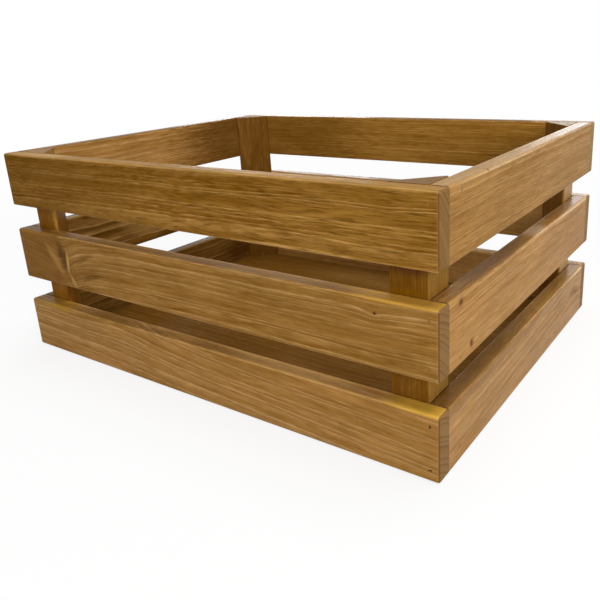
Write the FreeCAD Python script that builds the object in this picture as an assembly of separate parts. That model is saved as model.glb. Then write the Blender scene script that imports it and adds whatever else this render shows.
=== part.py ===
"""Slatted pine display crate: an open box of three tiers of slats nailed to four corner blocks.

The long slats run the full length and cover the ends of the short slats, so their end
grain shows on the short sides. Triangular blocks stand in the four corners on a thin
base panel. Brads, set a little below the surface, hold every slat end and the panel.

Units are millimetres. The origin is the centre of the crate's underside: X runs along
the length, Y from front to back, Z up.
"""
import FreeCAD, Part
import os
from FreeCAD import Vector

# ---------------------------------------------------------------- driving sizes
CRATE_LENGTH = 400.0      # outside, along X
CRATE_WIDTH = 306.0       # outside, along Y
TIERS = ("bottom", "middle", "top")
SLAT_HEIGHT = 44.0
SLAT_THICKNESS = 12.5
TIER_GAP = 20.5           # open gap between two tiers
ARRIS_RADIUS = 1.8        # sanded long edges and outer ends of the slats

BLOCK_LEG = 25.0          # each leg of the triangular corner block
BLOCK_NOSE = 1.5          # flat left on the block's two sharp edges
BLOCK_ARRIS = 0.8         # sanded upright edges of the block

PANEL_THICKNESS = 6.0     # base panel, flush with the underside

BRAD_WIDTH = 1.2          # thickness of the brad's wire, square to its head
BRAD_SHANK = 1.3          # shank across the wire, measured along the head
BRAD_HEAD = 2.3           # length of the T-shaped head
BRAD_HEAD_DEPTH = 0.9
BRAD_POINT = 2.5          # length of the chisel point
BRAD_SET = 1.0            # how far the head is driven below the face
BRAD_TIP_COVER = 3.0      # wood left beyond a brad's point

END_BRAD_GRIP = 12.0      # how far a brad goes into a short slat's end grain
END_BRAD_EDGE = 7.5       # from a long slat's edge to the brad
BRAD_PASS = 2.8           # brads from the two sides cross this far apart

# ---------------------------------------------------------------- derived places
TIER_PITCH = SLAT_HEIGHT + TIER_GAP
CRATE_HEIGHT = len(TIERS) * SLAT_HEIGHT + (len(TIERS) - 1) * TIER_GAP
INSIDE_LENGTH = CRATE_LENGTH - 2 * SLAT_THICKNESS
INSIDE_WIDTH = CRATE_WIDTH - 2 * SLAT_THICKNESS
SIDE_BRAD_EDGE = END_BRAD_EDGE - BRAD_PASS
SIDE_BRAD_IN = 0.6 * BLOCK_LEG            # from the inside corner, along the block's leg
SIDE_BRAD_GRIP = BLOCK_LEG - SIDE_BRAD_IN - BRAD_TIP_COVER
BASE_BRAD_PLACES = (0.2 * BLOCK_LEG, 0.4 * BLOCK_LEG)  # both ways from the inside corner
BASE_BRAD_GRIP = 0.55 * BLOCK_LEG

# Signs of X and Y at each corner.
CORNERS = {
    "front_right": (1, -1),
    "front_left": (-1, -1),
    "back_left": (-1, 1),
    "back_right": (1, 1),
}


def mirrored(shape, sign_x, sign_y):
    """A piece of the front right corner, mirrored into the corner with these signs."""
    if sign_x < 0:
        shape = shape.mirror(Vector(0, 0, 0), Vector(1, 0, 0))
    if sign_y > 0:
        shape = shape.mirror(Vector(0, 0, 0), Vector(0, 1, 0))
    return shape


def prism(points, direction):
    """A straight prism: the closed outline swept along a direction."""
    outline = Part.makePolygon(points + points[:1])
    return Part.Face(outline).extrude(direction)


def tier_bottom(tier):
    return TIERS.index(tier) * TIER_PITCH


# ---------------------------------------------------------------- brads
def brad_outline(head_start, length):
    """Outline of a T-head brad: pairs of depth below the face and distance across."""
    head = BRAD_HEAD / 2
    shank = BRAD_SHANK / 2
    head_end = BRAD_SET + BRAD_HEAD_DEPTH
    tip = BRAD_SET + length
    upper = [
        (head_start, head),
        (head_end, head),
        (head_end, shank),
        (tip - BRAD_POINT, shank),
    ]
    lower = [(depth, -across) for depth, across in reversed(upper)]
    return upper + [(tip, 0.0)] + lower


def brad_solid(face_point, inward, along_head, length, head_start=BRAD_SET):
    """A brad driven inward from a point on a face, its head lying along one direction."""
    side = inward.cross(along_head)
    points = []
    for depth, across in brad_outline(head_start, length):
        points.append(face_point + inward * depth + along_head * across - side * (BRAD_WIDTH / 2))
    return prism(points, side * BRAD_WIDTH)


def brad_and_pocket(face_point, inward, along_head, length):
    """The brad, and the hole it sits in, which runs out through the face."""
    brad = brad_solid(face_point, inward, along_head, length)
    pocket = brad_solid(face_point, inward, along_head, length, head_start=-BRAD_SET)
    return brad, pocket


def slat_heights(tier, edge, floor=0.0):
    """Heights of the two brads at a slat's end; the lower one stays above the floor."""
    bottom = tier_bottom(tier)
    return (max(bottom, floor) + edge, bottom + SLAT_HEIGHT - edge)


def end_brads(tier, sign_x, sign_y):
    """Brads through a long slat into the short slat's end grain: the lower head lies level."""
    x = sign_x * (CRATE_LENGTH - SLAT_THICKNESS) / 2
    y = sign_y * CRATE_WIDTH / 2
    length = SLAT_THICKNESS - BRAD_SET + END_BRAD_GRIP
    heads = (Vector(1, 0, 0), Vector(0, 0, 1))
    pairs = []
    for z, head in zip(slat_heights(tier, END_BRAD_EDGE), heads):
        pairs.append(brad_and_pocket(Vector(x, y, z), Vector(0, -sign_y, 0), head, length))
    return pairs


def side_brads(tier, sign_x, sign_y):
    """Brads through a short slat into the corner block."""
    x = sign_x * CRATE_LENGTH / 2
    y = sign_y * (INSIDE_WIDTH / 2 - SIDE_BRAD_IN)
    length = SLAT_THICKNESS - BRAD_SET + SIDE_BRAD_GRIP
    pairs = []
    for z in slat_heights(tier, SIDE_BRAD_EDGE, PANEL_THICKNESS):
        pairs.append(brad_and_pocket(Vector(x, y, z), Vector(-sign_x, 0, 0), Vector(0, 0, 1), length))
    return pairs


def base_brads(sign_x, sign_y):
    """Brads up through the base panel into the corner block's lower end."""
    length = PANEL_THICKNESS - BRAD_SET + BASE_BRAD_GRIP
    pairs = []
    for inset in BASE_BRAD_PLACES:
        x = sign_x * (INSIDE_LENGTH / 2 - inset)
        y = sign_y * (INSIDE_WIDTH / 2 - inset)
        pairs.append(brad_and_pocket(Vector(x, y, 0), Vector(0, 0, 1), Vector(1, 0, 0), length))
    return pairs


# ---------------------------------------------------------------- wooden pieces
def long_edges(shape, axis):
    """The straight edges of a box that run along one axis."""
    chosen = []
    for edge in shape.Edges:
        if abs(edge.tangentAt(edge.FirstParameter).dot(axis)) > 0.99:
            chosen.append(edge)
    return chosen


def long_slat(tier, sign_y):
    """A full-length slat, sanded along its long edges and round its ends."""
    y = sign_y * (CRATE_WIDTH - SLAT_THICKNESS) / 2
    corner = Vector(-CRATE_LENGTH / 2, y - SLAT_THICKNESS / 2, tier_bottom(tier))
    board = Part.makeBox(CRATE_LENGTH, SLAT_THICKNESS, SLAT_HEIGHT, corner)
    sanded = long_edges(board, Vector(1, 0, 0)) + long_edges(board, Vector(0, 1, 0))
    for edge in long_edges(board, Vector(0, 0, 1)):
        if abs(edge.CenterOfMass.y * sign_y - CRATE_WIDTH / 2) < 0.01:
            sanded.append(edge)
    return board.makeFillet(ARRIS_RADIUS, sanded)


def short_slat(tier, sign_x):
    """A slat between the two long ones, sawn square where it butts against them."""
    x = sign_x * (CRATE_LENGTH - SLAT_THICKNESS) / 2
    corner = Vector(x - SLAT_THICKNESS / 2, -INSIDE_WIDTH / 2, tier_bottom(tier))
    board = Part.makeBox(SLAT_THICKNESS, INSIDE_WIDTH, SLAT_HEIGHT, corner)
    return board.makeFillet(ARRIS_RADIUS, long_edges(board, Vector(0, 1, 0)))


def corner_block():
    """The front right block: a right triangle in plan with its sharp edges cut flat."""
    x = INSIDE_LENGTH / 2
    y = -INSIDE_WIDTH / 2
    outline = [
        Vector(x, y, PANEL_THICKNESS),
        Vector(x, y + BLOCK_LEG, PANEL_THICKNESS),
        Vector(x - BLOCK_NOSE, y + BLOCK_LEG, PANEL_THICKNESS),
        Vector(x - BLOCK_LEG, y + BLOCK_NOSE, PANEL_THICKNESS),
        Vector(x - BLOCK_LEG, y, PANEL_THICKNESS),
    ]
    block = prism(outline, Vector(0, 0, CRATE_HEIGHT - PANEL_THICKNESS))
    sanded = []
    for edge in long_edges(block, Vector(0, 0, 1)):
        centre = edge.CenterOfMass
        against_side = abs(centre.x - x) < 0.01 and centre.y > y + 0.01
        against_front = abs(centre.y - y) < 0.01 and centre.x < x - 0.01
        if not against_side and not against_front:
            sanded.append(edge)
    return block.makeFillet(BLOCK_ARRIS, sanded)


def base_panel():
    """One thin panel between the bottom slats, flush with their lower edges."""
    corner = Vector(-INSIDE_LENGTH / 2, -INSIDE_WIDTH / 2, 0)
    return Part.makeBox(INSIDE_LENGTH, INSIDE_WIDTH, PANEL_THICKNESS, corner)


# ---------------------------------------------------------------- assembly
pieces = {}
brads = {"front": [], "back": [], "left": [], "right": [], "base": []}
pockets = []

for tier in TIERS:
    pieces["front_slat_" + tier] = long_slat(tier, -1)
    pieces["back_slat_" + tier] = long_slat(tier, 1)
    pieces["left_slat_" + tier] = short_slat(tier, -1)
    pieces["right_slat_" + tier] = short_slat(tier, 1)
pieces["base_panel"] = base_panel()

for corner, (sign_x, sign_y) in CORNERS.items():
    pieces["corner_block_" + corner] = mirrored(corner_block(), sign_x, sign_y)
    long_side, short_side = corner.split("_")
    driven = {"base": base_brads(sign_x, sign_y)}
    driven[long_side] = []
    driven[short_side] = []
    for tier in TIERS:
        driven[long_side] += end_brads(tier, sign_x, sign_y)
        driven[short_side] += side_brads(tier, sign_x, sign_y)
    for side, pairs in driven.items():
        for brad, pocket in pairs:
            brads[side].append(brad)
            pockets.append(pocket)

os.makedirs("parts", exist_ok=True)

for name, piece in pieces.items():
    cutters = [pocket for pocket in pockets if pocket.BoundBox.intersect(piece.BoundBox)]
    solid = piece.cut(Part.makeCompound(cutters)).Solids[0]
    solid.exportStep("parts/" + name + ".step")
    print(name, round(solid.Volume), "mm3", "valid" if solid.isValid() else "INVALID")

for side, solids in brads.items():
    Part.makeCompound(solids).exportStep("parts/brads_" + side + ".step")
    print("brads_" + side, len(solids), "brads")
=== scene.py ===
# %% [markdown]
# # A slatted pine crate
#
# The crate is an open box for loose goods on a shop counter. Three tiers of planed
# pine slats are nailed round four triangular corner blocks, over a thin plywood base.
# The long slats cover the ends of the short ones. All of it was stained honey brown
# and brushed with satin varnish.
#
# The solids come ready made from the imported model, in metres, with X along the crate,
# Y from front to back and Z up. Nothing on the crate moves. This script gives the wood
# its grain and the nails their steel, stops the nail holes with putty, and stands the
# crate in a studio.

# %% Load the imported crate
from math import radians

import bmesh
import bpy
from mathutils import Euler, Matrix, Vector


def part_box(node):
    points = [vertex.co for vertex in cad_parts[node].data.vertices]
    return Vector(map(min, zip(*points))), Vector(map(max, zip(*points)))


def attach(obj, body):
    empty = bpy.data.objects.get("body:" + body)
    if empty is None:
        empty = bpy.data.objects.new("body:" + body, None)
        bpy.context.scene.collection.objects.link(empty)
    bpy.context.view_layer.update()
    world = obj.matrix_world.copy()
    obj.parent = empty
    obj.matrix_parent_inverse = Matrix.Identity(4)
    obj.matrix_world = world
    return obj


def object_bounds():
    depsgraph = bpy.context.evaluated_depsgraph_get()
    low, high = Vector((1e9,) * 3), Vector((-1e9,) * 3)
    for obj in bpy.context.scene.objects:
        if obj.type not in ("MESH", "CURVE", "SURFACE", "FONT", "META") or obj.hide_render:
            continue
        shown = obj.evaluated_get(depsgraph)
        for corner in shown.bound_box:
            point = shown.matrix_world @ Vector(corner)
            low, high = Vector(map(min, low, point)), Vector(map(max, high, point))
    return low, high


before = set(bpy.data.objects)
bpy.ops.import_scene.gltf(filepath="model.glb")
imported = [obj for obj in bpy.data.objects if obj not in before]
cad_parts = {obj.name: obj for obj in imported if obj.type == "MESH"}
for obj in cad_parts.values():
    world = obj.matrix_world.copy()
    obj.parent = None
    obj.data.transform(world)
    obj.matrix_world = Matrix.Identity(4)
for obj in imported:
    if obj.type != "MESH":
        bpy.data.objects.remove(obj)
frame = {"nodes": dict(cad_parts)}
cad_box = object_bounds()
nodes = frame["nodes"]
MM = 0.001
crate_size = (cad_box[1] - cad_box[0]) / MM
print("crate:", [round(side) for side in crate_size], "mm,", len(nodes), "nodes")

# %% [markdown]
# ## Colours and nodes
#
# Stain charts give colours as sRGB hex values, and a shader reckons in linear light,
# so one function turns the first into the second. A coat of stain that took a little
# more or less is the same colour times a number.
#
# A material is a tree of nodes. Adding one always means the same three things: make
# it, set it, feed its inputs. One function does that and hands back the socket that
# the next node reads. Two colours are mixed so often that the settings for it get a
# name: a Mix node keeps its share at socket 0 and its two colours at 6 and 7.


# %% A colour from its hex value
def colour(hex_value, tone=1.0):
    """An sRGB hex colour, times a tone, as the linear RGBA that shaders expect."""
    channels = []
    for start in (1, 3, 5):
        share = int(hex_value[start:start + 2], 16) / 255
        linear = share / 12.92 if share <= 0.04045 else ((share + 0.055) / 1.055) ** 2.4
        channels.append(min(linear * tone, 1.0))
    return (*channels, 1.0)


print("honey stain, linear:", [round(channel, 3) for channel in colour("#9c7134")])

# %% A node with its settings and links
OF_COLOURS = dict(data_type="RGBA", output=2)


def add(tree, kind, inputs=None, output=0, **settings):
    """Adds one shader node. Inputs are sockets to link or plain values to set."""
    node = tree.nodes.new("ShaderNode" + kind)
    for name, value in settings.items():
        setattr(node, name, value)
    for name, value in (inputs or {}).items():
        if isinstance(value, bpy.types.NodeSocket):
            tree.links.new(value, node.inputs[name])
        else:
            node.inputs[name].default_value = value
    return node.outputs[output] if node.outputs else node


print("a mix of two colours is set by", OF_COLOURS)

# %% An empty material, and a node that wears it
def new_material(name):
    """An empty material and its tree."""
    material = bpy.data.materials.new(name)
    material.use_nodes = True
    material.node_tree.nodes.clear()
    return material, material.node_tree


def dress(name, material):
    """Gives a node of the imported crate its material."""
    slots = nodes[name].data.materials
    slots.clear()
    slots.append(material)
    print(name, "wears", material.name + ",", len(material.node_tree.nodes), "shader nodes")


print("to be dressed:", ", ".join(nodes))

# %% [markdown]
# ## Sawn wood is cut from a tree
#
# A slat's figure is the trunk's growth rings, met at whatever angle the saw took. It
# could be painted on each face, but then the faces wouldn't agree at the edges. So the
# wood is a solid pattern, rings about a pith line, and the slat is a window cut through
# it. The stripes on a face then run on over the edge and meet the arcs on the end
# grain, as they do in a real slat.
#
# Each slat needs two sets of coordinates, both in millimetres with X along the grain.
# Slat space counts from the slat's lower end and lower edge, so a knot can be put
# where it is on the face. Grain space has the pith of the tree at Y = Z = 0. A Mapping
# node turns and moves the object's own coordinates into each.

# %% Slat space and grain space
ALONG_X = Matrix.Identity(3)
ALONG_Y = Matrix.Rotation(radians(-90), 3, "Z")
ALONG_Z = Matrix.Rotation(radians(90), 3, "Y")
LYING = Matrix.Rotation(radians(90), 3, "X")   # a panel: its height in slat space is Y


def wood_spaces(tree, name, along, pith, lean, cut):
    """Slat space, and grain space with the pith at a height and depth from the middle."""
    low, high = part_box(name)
    tilted = Euler([radians(angle) for angle in (0, *lean)]).to_matrix() @ along
    middle = tilted @ ((low + high) / 2 / MM)
    heart = tilted.inverted() @ (middle + Vector((-cut, pith[1], pith[0])))
    place = add(tree, "TexCoord", output="Object")
    spaces = []
    for turn, origin in ((along, low / MM), (tilted, heart)):
        spaces.append(add(tree, "Mapping", {
            "Vector": place, "Rotation": turn.to_euler(),
            "Location": -(turn @ origin), "Scale": (1 / MM,) * 3,
        }))
    return spaces


low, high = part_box("front_slat_top")
print("slat space of a long slat:", [round(side) for side in (high - low) / MM], "mm")

# %% [markdown]
# ## Knots bend the grain
#
# A branch pushes the fibres aside, so the lines of a slat dip or rise beside a knot
# and swing back to straight a few centimetres off. Trunks never grow as true
# cylinders either. Both are drawn by moving the coordinates before any ring is
# counted: slow noise for the trunk, and a peak that dies away round each knot.

# %% Distance from a place on the face
RIGHT_THROUGH = 1e6     # mm of reach into the slat: a mark goes through its thickness


def off_centre(tree, slat, place, reach, turn=0):
    """Distance on the slat's face from a place, with its reach along and up as 1."""
    away = add(tree, "Mapping", {
        "Vector": slat, "Location": (place[0], 0, place[1]), "Rotation": (0, radians(-turn), 0),
        "Scale": (reach[0], RIGHT_THROUGH, reach[1]),
    }, vector_type="TEXTURE")
    return add(tree, "VectorMath", {0: away}, output="Value", operation="LENGTH")


# %% Bent grain
BEND = (150.0, 34.0)    # mm along and across the grain, from one slow bend to the next


def per_mm(length, width):
    """What coordinates are multiplied by so that noise makes streaks of this size."""
    return (1 / length, 1 / width, 1 / width)


def bent_grain(tree, grain, slat, bend, knots):
    """Grain space as the tree really grew. A knot is its place, reach and rise, in mm."""
    slow = add(tree, "VectorMath", {0: grain, 1: per_mm(*BEND)}, operation="MULTIPLY")
    slow = add(tree, "TexNoise", {"Vector": slow, "Scale": 1.0, "Detail": 4.0,
                                  "Roughness": 0.5}, output="Color")
    space = add(tree, "VectorMath", {0: slow, 1: (0, bend, bend), 2: grain},
                operation="MULTIPLY_ADD")
    for place, reach, rise in knots:
        fade = off_centre(tree, slat, place, reach)
        fade = add(tree, "Math", {0: fade, 1: -1.0}, operation="MULTIPLY")
        fade = add(tree, "Math", {0: fade}, operation="EXPONENT")
        space = add(tree, "VectorMath", {0: fade, 1: (0, 0, -rise), 2: space},
                    operation="MULTIPLY_ADD")
    return space


print("a slow bend is", BEND[0], "mm long, the slat", round(crate_size.x), "mm")

# %% [markdown]
# ## Growth rings under stain
#
# Each year a pine lays down a wide soft band in spring and a thin hard line in late
# summer. Stain soaks into the soft band and is wiped off the hard line. So on stained
# pine the figure is reversed: the hard lines stay light and crisp, and the colour is
# deepest just outside them.
#
# The radius from the pith, divided by the ring width, counts the years. Its fraction
# is the season, and a ramp turns that into light and dark. Good years and bad ones
# differ, so the count is shifted by noise and each year gets its own strength.

# %% Rings
SEASONS = ((0.0, 1.0), (0.14, 0.02), (0.4, 0.12), (0.7, 0.34), (0.86, 0.5), (0.95, 1.0))
RUN = 2.5               # years in a run of good or bad summers
GOOD_AND_BAD = 2.5      # years by which such runs shift a ring
PATCH = (14.0, 2.4)     # mm along and across for which a line keeps one strength
PATCHY = 2.4            # what a patch counts for in that strength, where its year is 1
LOST_AND_FULL = (1.0, 2.3)  # the sum of the two at which a line is lost, and full


def ring_lines(tree, space, ring):
    """The season, and how far a hard light line shows: 0 where the stain went deepest."""
    across = add(tree, "VectorMath", {0: space, 1: (0, 1 / ring, 1 / ring)},
                 operation="MULTIPLY")
    years = add(tree, "VectorMath", {0: across}, output="Value", operation="LENGTH")
    uneven = add(tree, "TexNoise", {"W": years, "Scale": 1 / RUN, "Detail": 1.0},
                 noise_dimensions="1D")
    years = add(tree, "Math", {0: uneven, 1: GOOD_AND_BAD, 2: years}, operation="MULTIPLY_ADD")
    season = add(tree, "ValToRGB", {"Fac": add(tree, "Math", {0: years}, operation="FRACT")})
    ramp = season.node.color_ramp.elements
    for stop, (position, light) in zip(ramp, SEASONS):
        stop.position, stop.color = position, (light, light, light, 1)
    for position, light in SEASONS[2:]:
        ramp.new(position).color = (light, light, light, 1)
    year = add(tree, "Math", {0: years}, operation="FLOOR")
    luck = add(tree, "TexWhiteNoise", {"W": year}, noise_dimensions="1D")
    patchy = add(tree, "VectorMath", {0: space, 1: per_mm(*PATCH)}, operation="MULTIPLY")
    patchy = add(tree, "TexNoise", {"Vector": patchy, "Scale": 1.0, "Detail": 2.0,
                                    "Roughness": 0.6})
    strength = add(tree, "Math", {0: patchy, 1: PATCHY, 2: luck}, operation="MULTIPLY_ADD")
    strength = add(tree, "MapRange", {"Value": strength, "From Min": LOST_AND_FULL[0],
                                      "From Max": LOST_AND_FULL[1]})
    return season, add(tree, "Math", {0: season, 1: strength}, operation="MULTIPLY")


print("seasons in a ring:", len(SEASONS), "stops on the ramp")

# %% [markdown]
# ## Fibres, canals and streaks
#
# Between the rings the stain shows the wood's smaller make-up. Fibres draw fine
# streaks along the grain; a real one is 0.03 mm wide and would not show, so they are
# drawn as bundles 0.9 mm wide. Resin canals are cut open as short dark dashes. Wider
# streaks, a few millimetres across, are where one part drank more than its neighbour,
# and the brush left slow blotches over all of it.
#
# All four are the same noise, stretched to four sizes along the grain.

# %% Noise of four sizes
# Length and width in mm, detail and roughness of the noise, and the range that is
# mapped onto 0 to 1.
FINE_FIGURE = {
    "streak": (60, 3.6, 3.0, 0.6, 0.32, 0.7),
    "fibre": (13, 0.9, 3.0, 0.65, 0.0, 1.0),
    "canal": (14, 0.9, 2.0, 0.6, 0.5, 0.8),
    "blotch": (60, 20, 3.0, 0.55, 0.3, 0.7),
}


def fine_figure(tree, space):
    """The four noises, each from 0 to 1, by name."""
    found = {}
    for name, (length, width, detail, roughness, least, most) in FINE_FIGURE.items():
        noise = add(tree, "VectorMath", {0: space, 1: per_mm(length, width)},
                    operation="MULTIPLY")
        noise = add(tree, "TexNoise", {"Vector": noise, "Scale": 1.0, "Detail": detail,
                                       "Roughness": roughness})
        found[name] = add(tree, "MapRange", {"Value": noise, "From Min": least,
                                             "From Max": most})
    return found


print("fine figure:", {name: size[:2] for name, size in FINE_FIGURE.items()}, "mm")

# %% [markdown]
# ## The stain
#
# One tin of honey stain gives a different brown on every board, because each board
# drinks its own amount. A look is four colours: deep where the soft wood took most, mid
# where it took less, light on the hard lines, and canal for the dark dashes. Some
# boards show their canals plainly and some hardly do, so that is a share of its own.
#
# Knots, wear and dirt are marks: soft, ragged ellipses of another colour, put where they
# are on the slat. Painted light and shade are marks of the same kind: paler where light
# falls, darker where shade does.

# %% Looks of the boards
HONEY = dict(deep="#7d5218", mid="#9e7438", light="#b89058", canal="#553410")
PALE = dict(deep="#8c6028", mid="#a87c40", light="#be9562", canal="#644018")
FAWN = dict(deep="#96692e", mid="#a97c40", light="#bf955c", canal="#7a5222")
AMBER = dict(deep="#744a0e", mid="#966b2b", light="#bd9050", canal="#4a2e0a")
STRIPED = dict(deep="#583604", mid="#8e6426", light="#c69c60", canal="#4a2e0a")
TAN = dict(deep="#7c5418", mid="#926a2c", light="#ac8042", canal="#5a3a10")
UMBER = dict(deep="#70460e", mid="#805414", light="#94682c", canal="#553410")
PLY = dict(deep="#684414", mid="#76501c", light="#886028", canal="#4c3010")


def stained(tree, fine, lines, look, tone, canals):
    """The colour of the wood under its stain, with its canals darkened by this share."""
    wood = add(tree, "Mix", {0: fine["streak"], 6: colour(look["deep"], tone),
                             7: colour(look["mid"], tone)}, **OF_COLOURS)
    wood = add(tree, "Mix", {0: lines, 6: wood, 7: colour(look["light"], tone)}, **OF_COLOURS)
    canal = add(tree, "Math", {0: fine["canal"], 1: canals}, operation="MULTIPLY")
    return add(tree, "Mix", {0: canal, 6: wood, 7: colour(look["canal"], tone)}, **OF_COLOURS)


print("an ordinary board is", HONEY["mid"] + ",", "and", HONEY["light"], "on its hard lines")

# %% Marks of growth, wear, dirt, and painted light and shade
RAGGED = 0.8            # how far the fibres fray a mark's rim, where its reach is 1
MARK_RIM = (0.7, 1.5)   # full inside the first distance, gone outside the second


def marked(tree, wood, slat, fibre, marks, tone):
    """The wood with its marks: place and reach in mm, turn in degrees, colour, strength."""
    for place, reach, turn, hex_value, most in marks:
        away = off_centre(tree, slat, place, reach, turn)
        away = add(tree, "Math", {0: fibre, 1: RAGGED, 2: away}, operation="MULTIPLY_ADD")
        spot = add(tree, "MapRange", {
            "Value": away, "From Min": MARK_RIM[1], "From Max": MARK_RIM[0], "To Max": most,
        }, interpolation_type="SMOOTHSTEP")
        wood = add(tree, "Mix", {0: spot, 6: wood, 7: colour(hex_value, tone)}, **OF_COLOURS)
    return wood


print("a mark fades from", MARK_RIM[0], "to", MARK_RIM[1], "times its reach")

# %% [markdown]
# ## Edges and ends
#
# The slats were sanded by hand after staining. On the long edges the paper went
# through to paler wood, which also serves as a painted highlight along them. Beside a
# sawn end it opened the fibres, and the varnish darkened them to a thin brown line.
#
# End grain drinks most of all, all over, so the lines no longer stand out light. There
# the late wood shows as thin dark arcs on a greyer brown. On the back top slat and the
# back right block the ends are greyer still: a painted sheen.
#
# A mask for these could be painted on each slat. Reading which way the surface faces
# is simpler, and it works on every piece: an edge faces no axis squarely, and an end
# faces along the grain.

# %% Sanded edges and sawn ends
RUBBED_AND_HIGHLIGHT = "#bf9660"          # wood that was sanded bare again, also a painted highlight on the edges
SAWN = dict(pale="#85643c", dark="#6e502c", edge="#664424")     # early wood, late, rim
# the same ends, greyed by a painted sheen
SHEEN_GREY = dict(pale="#85704e", dark="#6e5a3a", edge="#664d30")
SQUARE_ON = (0.94, 0.8)     # largest part of the normal: a flat face, and mid-edge
LENGTHWISE = 0.3            # upright part of the normal on a long edge, rubbed and highlighted in full
UNRUBBED = 0.1              # how much the other edges show of the same wear and painted highlight
END_ON = (0.25, 0.6)        # part of the normal along the grain, from edge to end


def sanded_edges(tree):
    """How far the surface faces up or down, 1 on all edges, and 1 on long ones alone."""
    facing = add(tree, "NewGeometry", output="Normal")
    facing = add(tree, "VectorMath", {0: facing}, operation="ABSOLUTE")
    parts = add(tree, "SeparateXYZ", {0: facing}).node.outputs
    largest = add(tree, "Math", {0: parts["X"], 1: parts["Y"]}, operation="MAXIMUM")
    largest = add(tree, "Math", {0: largest, 1: parts["Z"]}, operation="MAXIMUM")
    edges = add(tree, "MapRange", {"Value": largest, "From Min": SQUARE_ON[0],
                                   "From Max": SQUARE_ON[1]})
    rubbed_and_highlight = add(tree, "MapRange", {"Value": parts["Z"], "From Max": LENGTHWISE,
                                    "To Min": UNRUBBED})
    return parts["Z"], edges, add(tree, "Math", {0: edges, 1: rubbed_and_highlight}, operation="MULTIPLY")


def sawn_ends(tree, wood, season, edges, rubbed_and_highlight, along, browns, tone):
    """The wood with its end grain in these browns, and 1 where that is."""
    facing = add(tree, "NewGeometry", output="Normal")
    grain_way = along.transposed() @ Vector((1, 0, 0))
    ends = add(tree, "VectorMath", {0: facing, 1: grain_way}, output="Value",
               operation="DOT_PRODUCT")
    ends = add(tree, "Math", {0: ends}, operation="ABSOLUTE")
    ends = add(tree, "MapRange", {"Value": ends, "From Min": END_ON[0],
                                  "From Max": END_ON[1]})
    sawn = add(tree, "Mix", {0: season, 6: colour(browns["pale"], tone),
                             7: colour(browns["dark"], tone)}, **OF_COLOURS)
    opened = add(tree, "Math", {0: edges, 1: rubbed_and_highlight}, operation="SUBTRACT")
    sawn = add(tree, "Mix", {0: opened, 6: sawn, 7: colour(browns["edge"], tone)},
               **OF_COLOURS)
    return add(tree, "Mix", {0: ends, 6: wood, 7: sawn}, **OF_COLOURS), ends


print("an edge rounds off in", SQUARE_ON, "of the normal")

# %% [markdown]
# ## Satin varnish
#
# The varnish is one thin coat, rubbed down. It hardly shines when it is looked at
# straight on and shines softly at a slant. That is a low specular level under a
# varnish's usual IOR of 1.5, with a middling roughness. Hard lines hold the film on
# top and are smoother; the soft wood between them drank it and is duller, so a
# reflection is streaked along the grain. On a face that lay level while the coat
# dried, the varnish ran even and set smoother still.
#
# The hard lines also stand a few hundredths of a millimetre proud, because the soft
# wood is worn down and swells. A Bump node makes that from the same masks. Cutting it
# into the mesh would need millions of faces for a relief that thin.

# %% Varnish
IOR = 1.5
SMOOTH, DULL = 0.24, 0.42       # roughness on the hard lines and in thirsty wood
END_DULL = 0.15                 # how much rougher the end grain is
LEVELLED = 0.1                  # how much smoother a face is that lay level
LINE_RELIEF = 0.6               # height of a hard line, where a bundle of fibres is 1
RELIEF = 0.16 * MM              # height of a bundle
OPEN = 0.6                      # share of the relief that the varnish doesn't fill


def varnished(tree, wood, fine, lines, level, ends, gloss):
    """Puts the satin varnish over the wood and ends the tree."""
    film = add(tree, "Math", {0: fine["streak"], 1: lines}, operation="MAXIMUM")
    rough = add(tree, "MapRange", {"Value": film, "To Min": DULL, "To Max": SMOOTH})
    rough = add(tree, "Math", {0: ends, 1: END_DULL, 2: rough}, operation="MULTIPLY_ADD")
    rough = add(tree, "Math", {0: level, 1: -LEVELLED, 2: rough}, operation="MULTIPLY_ADD")
    relief = add(tree, "Math", {0: lines, 1: LINE_RELIEF, 2: fine["fibre"]},
                 operation="MULTIPLY_ADD")
    bump = add(tree, "Bump", {"Height": relief, "Strength": OPEN, "Distance": RELIEF})
    coated = add(tree, "BsdfPrincipled", {
        "Base Color": wood, "Roughness": rough, "Normal": bump,
        "IOR": IOR, "Specular IOR Level": gloss,
    })
    add(tree, "OutputMaterial", {"Surface": coated})


print("varnish roughness:", SMOOTH, "to", DULL)

# %% [markdown]
# ## Stained pine, from the tree to the varnish
#
# Now one function can make the wood of any piece, in the order in which it came about
# on the bench: the tree, the stain, the sandpaper, what happened to the board since,
# the saw's ends, and the varnish. Painted light and shade come in with the marks and the
# pale edges.
#
# What differs from board to board is an argument. Of the tree: ring is the width of a
# ring, pith how far the pith lies above and behind the middle of the board, lean the
# angles between pith and board, bend how crooked the trunk was, and cut how far along
# it the board was taken, in mm and degrees. Of the finish: look and sawn are its
# colours, tone makes them paler or darker, canals is how plainly the resin canals
# show, and gloss is the varnish's specular level. Knots and marks are lists. The
# defaults are those of an ordinary board.
#
# Bundles of fibres and the slow blotches of the brush change how deep the colour is,
# so they multiply it. Open fibres also scatter a little white light, which washes out
# the palest bundles, so a haze is added before that and taken off again after.

# %% Stained pine
HAZE = 0.03                         # light that open fibres scatter besides their colour
BUNDLES = (0.25, 0.75, 0.8, 1.2)    # noise of the fibres, and what it does to the colour
BRUSHING = (0.9, 1.1)               # the least and most that a blotch does to it


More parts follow.
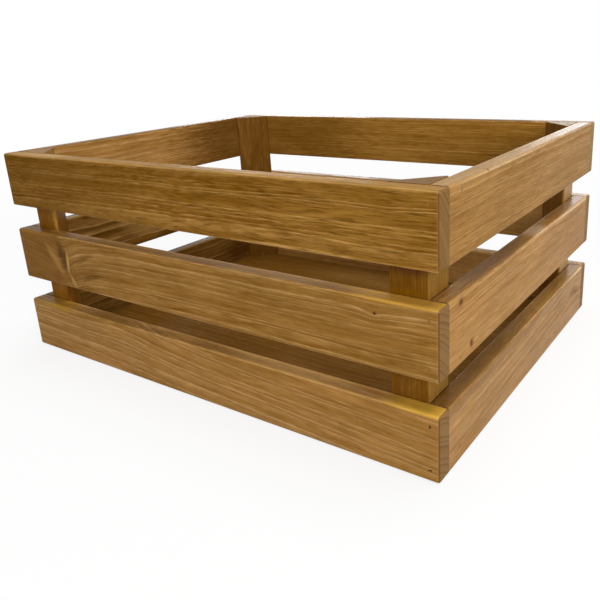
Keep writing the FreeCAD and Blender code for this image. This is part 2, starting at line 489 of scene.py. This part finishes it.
def stained_pine(name, along, look=HONEY, tone=1.0, gloss=0.035, canals=0.3, ring=2.6,
                 pith=(30, 40), lean=(0, 0), bend=7.0, cut=0.0, knots=(), marks=(),
                 sawn=SAWN):
    """Solid stained pine for one node, cut from its own place in the tree."""
    material, tree = new_material("stained pine, " + name.replace("_", " "))
    slat, grain = wood_spaces(tree, name, along, pith, lean, cut)
    space = bent_grain(tree, grain, slat, bend, knots)
    season, lines = ring_lines(tree, space, ring)
    fine = fine_figure(tree, space)

    wood = stained(tree, fine, lines, look, tone, canals)
    level, edges, rubbed_and_highlight = sanded_edges(tree)
    worn_and_highlight = add(tree, "Math", {0: rubbed_and_highlight, 1: fine["fibre"]}, operation="MULTIPLY")
    wood = add(tree, "Mix", {0: worn_and_highlight, 6: wood, 7: colour(RUBBED_AND_HIGHLIGHT, tone)}, **OF_COLOURS)
    wood = marked(tree, wood, slat, fine["fibre"], marks, tone)
    bundles = add(tree, "MapRange", {
        "Value": fine["fibre"], "From Min": BUNDLES[0], "From Max": BUNDLES[1],
        "To Min": BUNDLES[2], "To Max": BUNDLES[3],
    })
    brushed = add(tree, "MapRange", {"Value": fine["blotch"], "To Min": BRUSHING[0],
                                     "To Max": BRUSHING[1]})
    bundles = add(tree, "Math", {0: bundles, 1: brushed}, operation="MULTIPLY")
    wood = add(tree, "VectorMath", {0: wood, 1: (HAZE,) * 3}, operation="ADD")
    wood = add(tree, "VectorMath", {0: wood, 1: bundles, 2: (-HAZE,) * 3},
               operation="MULTIPLY_ADD")
    wood, ends = sawn_ends(tree, wood, season, edges, rubbed_and_highlight, along, sawn, tone)
    varnished(tree, wood, fine, lines, level, ends, gloss)
    return material


print("bundles of fibres change the colour", BUNDLES[2], "to", BUNDLES[3], "times")

# %% [markdown]
# ## The front slats
#
# These are the boards that a shopper sees first, so each is set one by one. The pith lies
# below and in front of all three, which is why the rings rise across the end grain
# towards the back. The top slat is full of resin canals and dark at its left end, partly
# by deeper stain and partly as painted shade. Its rim is pale, worn by hands and with
# painted light, and a paler and a darker stretch on it are painted sheen and shade.
#
# The middle slat has a knot close to its left end, cut through at the root. Left of it
# the grain sweeps down, right of it the rings swing up and over. The knot is a pull on
# the coordinates, a pale ridge with a darker core beside it, and dark dashes where the
# stain sat in torn grain. A pin knot no wider than a match sits near the right end.
#
# The bottom slat was sawn at three degrees to the pith, so its rings run off the upper
# edge. On the edges of the middle and bottom slats under the gaps, light and shade are
# painted: yellow pools of light beside the corner blocks, paler and darker stretches
# between them.

# %% Front slats
# A paler rim: wear from hands, and painted light on its top face.
RIM_WEAR_AND_LIGHT = ((200, 45), (900, 3), 0, "#bb9252", 0.4)
FRONT_SLATS = {
    "front_slat_top": dict(
        pith=(-44, -70), ring=2.4, bend=6, cut=100, look=AMBER, tone=1.1, gloss=0.002,
        canals=0.9,
        marks=(
            ((10, 22), (170, 90), 0, "#5c3a0e", 0.4),          # darker end: deeper stain and painted shade
            RIM_WEAR_AND_LIGHT,
            ((45, 45), (50, 3), 0, "#bb9258", 0.6),            # paler stretch of the rim: painted sheen
            ((215, 45), (70, 3), 0, "#8a6a3c", 0.5),           # darker stretch of the rim: painted shade
        ),
    ),
    "front_slat_middle": dict(
        pith=(-60, -42), ring=3.6, bend=7, cut=1100, tone=1.08, gloss=0.02,
        knots=(((54, 16), (24, 60), -14), ((66, 16), (8, 60), -4),
               ((359, 34), (14, 12), -4)),
        marks=(
            ((10, 22), (75, 80), 0, "#744a10", 0.7),           # darker end: deeper stain and painted shade
            ((60, 27), (8, 17), 17, "#553208", 0.85),          # hollow beside the ridge
            ((48, 23), (5, 19), 38, "#ac8040", 0.65),          # pale band left of it
            ((47, 8), (11, 7), 0, "#79491c", 0.85),            # core of the knot
            ((65.5, 22), (2.3, 12), -6, "#c09656", 0.85),      # ridge
            ((69.5, 6), (2.4, 8), 30, "#bb9050", 0.75),        # its lower end
            ((92, 13), (20, 3), 12, "#5e3c12", 0.6),           # torn grain
            ((86, 28), (16, 3), 18, "#66421a", 0.6),
            ((359.5, 35), (1.5, 1.2), 0, "#3a2008", 0.9),      # pin knot
            ((280, 44), (50, 1.5), 0, "#b48a54", 0.5),         # paler stretch of the edge: painted light
            ((375, 44), (45, 2), 0, "#cc9a40", 0.85),          # yellow pools of painted light
            ((26, 44.5), (40, 4), 0, "#94682c", 0.7),          # an even brown over the edge at the left end
        ),
    ),
    "front_slat_bottom": dict(
        pith=(-60, -36), ring=4.6, lean=(-3.0, 0), bend=5, cut=2100, look=PALE, tone=1.12,
        gloss=0.02, knots=(((121, 50), (50, 40), 9),),
        marks=(
            ((285, 44), (60, 1.5), 0, "#b88e50", 0.6),         # paler stretch of the edge: painted light
            ((105, 44), (40, 1.5), 0, "#7a5420", 0.6),         # darker stretch of the edge: painted shade
            ((390, 44), (34, 2), 0, "#cea03c", 0.85),          # yellow pools of painted light
            ((40, 44), (26, 5.5), 0, "#a87c28", 0.75),
        ),
    ),
}
for name, sawing in FRONT_SLATS.items():
    dress(name, stained_pine(name, ALONG_X, **sawing))

# %% [markdown]
# ## The other slats
#
# The back slats are plain boards, and the lower two took less stain; paler stretches
# towards their right ends are painted light, bounced inside the crate. Of the left ones,
# the top slat is pale and darker towards the back, where shade is painted, the middle
# one is striped by wide rings, and the bottom one is the darkest of all, with a dark red
# patch. The rims at the back and on the left are darker, by dirt from hands and by
# painted shade.
#
# The right slats are quarter sawn: their rings are met square on, so the lines are
# fine, straight and even, and their stain is paler. In the middle one the stain bled
# round a brad near the front, and a pin knot sits lower down beside it. Their outer top
# edges carry painted highlights, the edges under the gaps the painted shadow of the slat
# above, and the top rim a darker far end of painted shade.
#
# Each board is cut from its own stretch of the same endless tree, a metre further
# along, so no two have the same figure.

# %% Back slats
# A darker rim: dirt from hands, and painted shade on its top face.
RIM_DIRT_AND_SHADE = ((200, 45), (900, 3), 0, "#624218", 0.85)
BACK_SLATS = {
    "back_slat_top": dict(
        pith=(50, 30), cut=3100, look=TAN, tone=1.5, gloss=0.005, sawn=SHEEN_GREY,
        marks=(((60, 22), (130, 90), 0, "#5c3a0e", 0.5), RIM_DIRT_AND_SHADE),
    ),
    "back_slat_middle": dict(
        pith=(30, 30), cut=4100, look=PALE, tone=1.15,
        marks=(((320, 22), (110, 60), 0, "#cca05c", 0.5),),    # a paler stretch: painted light, bounced inside the crate
    ),
    "back_slat_bottom": dict(
        pith=(30, 20), cut=5100, look=PALE, tone=1.15,
        # a paler stretch: painted light, bounced inside the crate
        marks=(((310, 22), (110, 60), 0, "#cca05c", 0.6),),
    ),
}
for name, sawing in BACK_SLATS.items():
    dress(name, stained_pine(name, ALONG_X, **sawing))

# %% Left slats
LEFT_SLATS = {
    "left_slat_top": dict(
        pith=(30, 20), cut=6100, look=PALE, tone=1.25, gloss=0.005,
        # darker towards the back: painted shade
        marks=(((252, 22), (106, 60), 0, "#603e12", 0.87), RIM_DIRT_AND_SHADE),
    ),
    "left_slat_middle": dict(
        pith=(30, 60), ring=4.6, cut=7100, look=STRIPED, tone=1.15,
        marks=(((106, 18), (30, 11), -15, "#b48c4c", 0.6),),   # a paler patch
    ),
    "left_slat_bottom": dict(
        pith=(30, 20), cut=8100, look=AMBER, tone=0.66,
        marks=(((240, 18), (30, 14), 0, "#5c2810", 0.6),),     # a dark red patch
    ),
}
for name, sawing in LEFT_SLATS.items():
    dress(name, stained_pine(name, ALONG_Y, **sawing))

# %% Right slats
RIGHT_SLATS = {
    "right_slat_top": dict(
        pith=(30, 20), ring=2.0, bend=5, cut=9100, look=FAWN, tone=0.94, gloss=0.015,
        marks=(
            RIM_WEAR_AND_LIGHT,
            ((85, 42.7), (90, 0.9), 0, "#d8b488", 0.7),        # painted highlight along the outer edge
            ((52.3, 43.4), (1.6, 1.0), 0, "#7a5424", 0.9),     # nick
            ((255, 45), (100, 2), 0, "#74583c", 0.75),         # darker far end of the rim: painted shade
        ),
    ),
    "right_slat_middle": dict(
        pith=(30, 20), ring=2.0, bend=4, cut=10100, look=FAWN, tone=1.09, gloss=0.03,
        marks=(
            ((15, 39.3), (5, 4), 0, "#8a5a24", 0.8),           # stain round a brad
            ((15, 39.3), (2.6, 2.2), 0, "#522a08", 1.0),
            ((30.7, 7.4), (5, 5), 0, "#96602c", 0.8),          # pin knot
            ((30.7, 7.4), (2.8, 3.2), 0, "#522a08", 1.0),
            ((85, 44), (80, 1.5), 0, "#6f4a1e", 0.7),          # painted shadow of the slat above, on the edge
            ((158, 45), (20, 3), 0, "#c8a884", 0.7),           # a paler spot on the edge
            # painted highlight on the far edge
            ((238, 45), (36, 3), 0, "#b48e64", 0.6),
            ((245, 42.7), (65, 0.9), 0, "#f2cc94", 0.9),       # painted highlight along the outer edge
            ((250, 22), (80, 60), 0, "#8a5c2c", 0.3),
        ),
    ),
    "right_slat_bottom": dict(
        pith=(30, 20), ring=2.2, lean=(2, 0), cut=11100, look=FAWN, gloss=0.045,
        knots=(((255, 30), (16, 12), 8),),
        marks=(
            ((256, 27), (16, 6), -10, "#7a5324", 0.6),         # knot
            ((50, 44), (110, 1.5), 0, "#6f4a1e", 0.6),         # painted shadow of the slat above, on the edge
            # dirt below the edge
            ((60, 40), (140, 6), 0, "#805a2c", 0.45),
            ((270, 42.7), (40, 1), 0, "#f0d0a4", 0.8),         # painted highlight along the outer edge
        ),
    ),
}
for name, sawing in RIGHT_SLATS.items():
    dress(name, stained_pine(name, ALONG_Y, **sawing))

# %% [markdown]
# ## Corner blocks
#
# A block is a square batten sawn in two along its diagonal and stood in the corner. Its
# grain runs upright, the rings are fine, and the sawn side drank a lot of stain, so it
# is the brownest wood of the crate and has almost no shine. The planed side that lies
# against the right slats is painted paler, as the light that falls on it from the right.
# The upper end is bare end grain, level with the rim.
#
# Under the top slat, the front right block is painted darker as shade, and paler at its
# foot as light. The front left one is painted paler at its upper end and nose, as light
# from inside the crate, and the back left one darker, as shade in its corner. The back
# right one is painted paler low down, as light from the right.

# %% Corner blocks
BLOCKS = {
    "corner_block_front_right": dict(look=UMBER, gloss=0.01, marks=(
        ((60, -25), (900, 0.8), 0, "#8f682d", 1.0),            # planed side, painted paler: light from the right
        ((120, -12), (7, 16), 0, "#5c3424", 0.6),              # painted shade under the top slat
        ((103, -12), (5, 16), 0, "#8a5c08", 0.6),              # painted light at the foot
    )),
    "corner_block_front_left": dict(look=UMBER, tone=1.3, gloss=0.01, marks=(
        ((160, -12), (22, 30), 0, "#a07a44", 0.9),             # paler upper end: painted light from inside the crate
        ((112, -25), (14, 3), 0, "#a47734", 0.9),              # paler nose: painted light from inside the crate
        ((48, -25), (12, 2.5), 0, "#5a2c04", 0.7),             # dark stain lower down
    )),
    # darker: painted shade in the back left corner
    "corner_block_back_left": dict(look=UMBER, tone=0.85, gloss=0.01),
    "corner_block_back_right": dict(look=AMBER, tone=1.2, gloss=0.045, sawn=SHEEN_GREY, marks=(
        ((60, -25), (900, 0.8), 0, "#a5814e", 1.0),            # planed side, painted paler: light from the right
        ((48, -25), (16, 0.8), 0, "#b09466", 0.9),             # paler low down: painted light from the right
    )),
}
for name, sawing in BLOCKS.items():
    dress(name, stained_pine(name, ALONG_Z, pith=(60, 50), ring=2.0, **sawing))

# %% [markdown]
# ## Base panel
#
# The base is softwood plywood. Its face veneer is peeled from a turning log, so the
# knife meets each ring at a shallow angle and the figure is broad and sleepy. The same
# solid rings do that when the pith lies close under the face and the rings are wide.
# The edges with the glue lines are hidden between the slats. The coat is thin. Along the
# front the panel is painted darker, as the shadow of the front slats, and a patch further
# back is painted paler, as light.

# %% Base panel
dress("base_panel", stained_pine(
    "base_panel", LYING, pith=(0, -60), ring=6, bend=9, look=PLY, gloss=0.02,
    marks=(
        ((187, 50), (600, 60), 0, "#4c3010", 0.35),            # painted shadow along the front, under the front slats
        ((190, 252), (110, 30), 0, "#8a6430", 0.8),            # a paler patch: painted light further back
    ),
))

# %% [markdown]
# ## Brads
#
# A brad is a short nail cut from flattened steel wire, with a head like a T. It is
# driven by an air gun until the head is a millimetre under the face. The wire is dull
# grey, and stain has run into the holes, so it is darker in patches.
#
# Steel is a metal: all its colour is in the reflection. Tarnish lies in spots about
# 0.6 mm wide, and changes both the colour and how sharp the reflection is.

# %% Dulled steel wire
TARNISH_SPOT = 0.6 * MM
TARNISH_DEPTH = 0.03 * MM
CLEAN_AND_SPOTTED = (0.3, 0.7)      # the noise at which the wire is clean, and all spot
WIRE_ROUGH = (0.35, 0.65)           # roughness of the two
SHOWING = 0.4                       # share of a relief that stain or varnish leaves
STEEL = dict(dark="#2c2520", bright="#5a5550")

steel, tree = new_material("dulled steel wire")
place = add(tree, "TexCoord", output="Object")
tarnish = add(tree, "TexNoise", {"Vector": place, "Scale": 1 / TARNISH_SPOT, "Detail": 4.0})
tint = add(tree, "Mix", {0: tarnish, 6: colour(STEEL["dark"]), 7: colour(STEEL["bright"])},
           **OF_COLOURS)
rough = add(tree, "MapRange", {
    "Value": tarnish, "From Min": CLEAN_AND_SPOTTED[0], "From Max": CLEAN_AND_SPOTTED[1],
    "To Min": WIRE_ROUGH[0], "To Max": WIRE_ROUGH[1],
})
bump = add(tree, "Bump", {"Height": tarnish, "Strength": SHOWING, "Distance": TARNISH_DEPTH})
wire = add(tree, "BsdfPrincipled", {
    "Base Color": tint, "Metallic": 1.0, "Roughness": rough, "Normal": bump,
})
add(tree, "OutputMaterial", {"Surface": wire})
for side in ("front", "back", "left", "right", "base"):
    dress("brads_" + side, steel)

# %% [markdown]
# ## Where the nail holes are
#
# A row of brads is one node, so its mesh has to be taken apart to find each brad. The
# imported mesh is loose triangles; a copy of it is merged, and then a search that steps
# from vertex to neighbouring vertex gathers one brad at a time. The box round each is
# all that the putty needs.

# %% Find every brad
OUTWARD = {"front": Vector((0, -1, 0)), "back": Vector((0, 1, 0)),
           "left": Vector((-1, 0, 0)), "right": Vector((1, 0, 0))}


def solid_boxes(name):
    """The low and high corner, in mm, of every separate solid in a node."""
    skin = bmesh.new()
    skin.from_mesh(nodes[name].data)
    bmesh.ops.remove_doubles(skin, verts=skin.verts, dist=0.001 * MM)
    seen, boxes = set(), []
    for first in skin.verts:
        if first in seen:
            continue
        seen.add(first)
        rim, brad = [first], []
        while rim:
            vert = rim.pop()
            brad.append(vert.co / MM)
            near = [edge.other_vert(vert) for edge in vert.link_edges]
            near = [neighbour for neighbour in near if neighbour not in seen]
            seen.update(near)
            rim.extend(near)
        boxes.append([Vector(map(end, *brad)) for end in (min, max)])
    skin.free()
    return boxes


holes = {side: solid_boxes("brads_" + side) for side in OUTWARD}
print("brads:", {side: len(boxes) for side, boxes in holes.items()})

# %% [markdown]
# ## Putty in the nail holes
#
# The holes were stopped with tinted putty before the varnish, and three were missed:
# two at the right end of the bottom front slat and one on the right side. A plug is a
# small block from the brad's head to the face. As putty dries it shrinks, so the top
# is inset and sunk by less than a tenth of a millimetre.
#
# The plugs of one side are one piece, because they are one job on the real crate.

# %% Tinted putty
PUTTY = dict(dark="#7c5018", pale="#a5773a")
GRIT = 0.25 * MM                # width of a grain
GRIT_HEIGHT = 0.03 * MM
PASTE_ROUGH = (0.5, 0.8)        # roughness in the dark paste and on the pale grains
PASTE_GLOSS = 0.06              # specular level: putty drinks the varnish

putty, tree = new_material("tinted wood putty")
place = add(tree, "TexCoord", output="Object")
grit = add(tree, "TexNoise", {"Vector": place, "Scale": 1 / GRIT, "Detail": 3.0})
tint = add(tree, "Mix", {0: grit, 6: colour(PUTTY["dark"]), 7: colour(PUTTY["pale"])},
           **OF_COLOURS)
rough = add(tree, "MapRange", {"Value": grit, "To Min": PASTE_ROUGH[0],
                               "To Max": PASTE_ROUGH[1]})
bump = add(tree, "Bump", {"Height": grit, "Strength": SHOWING, "Distance": GRIT_HEIGHT})
paste = add(tree, "BsdfPrincipled", {
    "Base Color": tint, "Roughness": rough, "Normal": bump,
    "Specular IOR Level": PASTE_GLOSS,
})
add(tree, "OutputMaterial", {"Surface": paste})
print("putty grit:", GRIT / MM, "mm")

# %% Plugs
MISSED = {"front": ((193.75, 7.5), (193.75, 36.5)), "right": ((-125.5, 103.8),)}
NEAR = 1.0           # mm within which a place counts as a brad's own
CLEARANCE = 0.02     # mm between a plug and what is round it
LIP = 0.25           # mm of rim that stays level
DISH = 0.08          # mm that the middle sank
OUTER = 0.9          # a face is a plug's top if its normal points outward this much


def is_open(side, low, high):
    """Whether the hole of this brad was missed."""
    across = 1 if OUTWARD[side].x else 0
    spot = Vector(((low[across] + high[across]) / 2, (low.z + high.z) / 2))
    return any((spot - Vector(place)).length < NEAR for place in MISSED.get(side, ()))


def add_plug(mesh, side, low, high):
    """A block of putty from the brad's head to the slat's face."""
    outward = OUTWARD[side]
    deep = 0 if outward.x else 1
    face = crate_size[deep] / 2
    head = max(low[deep] * outward[deep], high[deep] * outward[deep])
    size, middle = high - low, (low + high) / 2
    size[deep], middle[deep] = face - head, outward[deep] * (face + head) / 2
    block = bmesh.ops.create_cube(mesh, size=1.0)["verts"]
    bmesh.ops.scale(mesh, verts=block, vec=size - Vector((2, 2, 2)) * CLEARANCE)
    bmesh.ops.translate(mesh, verts=block, vec=middle)


for side, outward in OUTWARD.items():
    mesh = bmesh.new()
    for low, high in holes[side]:
        if not is_open(side, low, high):
            add_plug(mesh, side, low, high)
    mesh.normal_update()
    tops = [face for face in mesh.faces if face.normal.dot(outward) > OUTER]
    bmesh.ops.inset_individual(mesh, faces=tops, thickness=LIP, depth=-DISH)
    bmesh.ops.scale(mesh, verts=mesh.verts, vec=(MM,) * 3)
    piece = bpy.data.objects.new("putty_" + side, bpy.data.meshes.new("putty_" + side))
    mesh.to_mesh(piece.data)
    mesh.free()
    piece.data.materials.append(putty)
    bpy.context.scene.collection.objects.link(piece)
    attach(piece, "root")
    print(piece.name, len(tops), "plugs,", len(piece.data.polygons), "faces")

# %% [markdown]
# ## A paper floor
#
# The crate stands on a wide sheet of white paper under soft light. A sheet that is lit
# alone turns grey with distance, and more light on it would bleach the crate. So the
# paper glows, but only for rays that look at it: the camera's own, and those that the
# varnish mirrors. The glow has a strength of 1, which is white, from a metre and a half
# away, and leaves a fifth of real paper close by, where the crate's shadow falls.
#
# For the light that bounces up into the gaps the paper is a duller grey, as the far
# side of a room is.

# %% Floor
FLOOR_RADIUS = 40.0             # m
UNDER = 0.2 * MM                # the floor lies this far under the crate
SHADOW_GROUND = (0.3, 1.6)      # m from the middle: real paper fades out between these
GLOW = (0.8, 1.0)               # share of glow near and far
PAPER = dict(bounced="#c8c8c8", seen="#f4f4f4")

sheet = bmesh.new()
bmesh.ops.create_circle(sheet, cap_ends=True, segments=96, radius=FLOOR_RADIUS)
floor = bpy.data.objects.new("floor", bpy.data.meshes.new("floor"))
sheet.to_mesh(floor.data)
sheet.free()
floor.location.z = cad_box[0].z - UNDER
bpy.context.scene.collection.objects.link(floor)
print("floor:", 2 * FLOOR_RADIUS, "m across")


# %% White paper
def looking(tree):
    """1 for rays that look at the background: straight, mirrored or through glass."""
    path = add(tree, "LightPath").node.outputs
    seen = add(tree, "Math", {0: path["Is Camera Ray"], 1: path["Is Glossy Ray"]},
               operation="MAXIMUM")
    return add(tree, "Math", {0: seen, 1: path["Is Transmission Ray"]}, operation="MAXIMUM")


paper, tree = new_material("white paper")
place = add(tree, "TexCoord", output="Object")
away = add(tree, "VectorMath", {0: place}, output="Value", operation="LENGTH")
share = add(tree, "MapRange", {
    "Value": away, "From Min": SHADOW_GROUND[0], "From Max": SHADOW_GROUND[1],
    "To Min": GLOW[0], "To Max": GLOW[1],
}, interpolation_type="SMOOTHSTEP")
seen = looking(tree)
share = add(tree, "Math", {0: seen, 1: share}, operation="MULTIPLY")
white = add(tree, "Mix", {0: seen, 6: colour(PAPER["bounced"]), 7: colour(PAPER["seen"])},
            **OF_COLOURS)
matt = add(tree, "BsdfDiffuse", {"Color": white})
glow = add(tree, "Emission", {"Color": (1, 1, 1, 1), "Strength": 1.0})
add(tree, "OutputMaterial", {"Surface": add(tree, "MixShader", {0: share, 1: matt, 2: glow})})
floor.data.materials.append(paper)
print("paper glows", GLOW[0], "near and", GLOW[1], "far")

# %% [markdown]
# ## Soft studio light
#
# Varnished wood needs two kinds of light. Broad light shows its colour: a wide soft sun
# from overhead, and a softbox at the right that lights the short side a little more
# than the long one, so the two sides part. Then it needs something to mirror: two low
# windows far behind the crate, which whiten the rims where they are seen at a slant.
#
# The world is white for rays that look at it and dim for the light that it gives. Places
# and sizes of the lamps are in metres, and their energy in watts, but the sun's in watts
# a square metre.

# %% World
WORLD = (0.2, 1.0)      # strength as light, and as seen

world = bpy.data.worlds.new("studio")
bpy.context.scene.world = world
world.use_nodes = True
tree = world.node_tree
tree.nodes.clear()
strength = add(tree, "MapRange", {"Value": looking(tree), "To Min": WORLD[0],
                                  "To Max": WORLD[1]})
sky = add(tree, "Background", {"Color": (1, 1, 1, 1), "Strength": strength})
add(tree, "OutputWorld", {"Surface": sky})
print("world: strength", WORLD[0], "as light and", WORLD[1], "as seen")


# %% Lamps
def lamp(name, kind, place, aim, energy, **settings):
    """A lamp at a place, aimed at a point, that the camera doesn't see."""
    light = bpy.data.lights.new(name, kind)
    light.energy = energy
    for setting, value in settings.items():
        setattr(light, setting, value)
    made = bpy.data.objects.new(name, light)
    made.location = place
    made.rotation_euler = (Vector(aim) - Vector(place)).to_track_quat("-Z", "Y").to_euler()
    made.visible_camera = False
    bpy.context.scene.collection.objects.link(made)
    print(name, "at", place, "m, energy", energy)


lamp("skylight", "SUN", (0.1, 0.1, 1.0), (0, 0, 0), 1.9, angle=radians(40))
lamp("softbox", "AREA", (1.56, -1.3, 0.8), (0, 0, 0.1), 30, shape="SQUARE", size=1.0)
lamp("right_window", "AREA", (0.25, 2.2, 0.52), (0.25, 0, 0.52), 8.2,
     shape="RECTANGLE", size=1.54, size_y=0.64)
lamp("left_window", "AREA", (-1.98, 2.2, 0.285), (-1.98, 0, 0.285), 9.2,
     shape="RECTANGLE", size=1.36, size_y=0.29)

# %% [markdown]
# ## Camera
#
# The camera stands close, a little above the rim and to the right of the front, so both
# sides and the inside show. So near, the crate's lines run together strongly, which a
# long lens from afar wouldn't do. It is tilted by under three degrees, and shifted
# just enough to frame the crate without turning away from it.

# %% Camera
camera = bpy.data.objects.new("camera", bpy.data.cameras.new("camera"))
camera.location = (0.33945, -0.43820, 0.24191)
camera.rotation_euler = [radians(angle) for angle in (72.379, 2.636, 33.768)]
camera.data.lens = 38.706
camera.data.shift_x, camera.data.shift_y = -0.0781, -0.0758
camera.data.clip_start, camera.data.clip_end = 0.01, 100
bpy.context.scene.collection.objects.link(camera)
bpy.context.scene.camera = camera
bpy.context.scene.view_settings.view_transform = "Standard"
print("camera:", round(camera.location.length, 2), "m from the crate's foot")
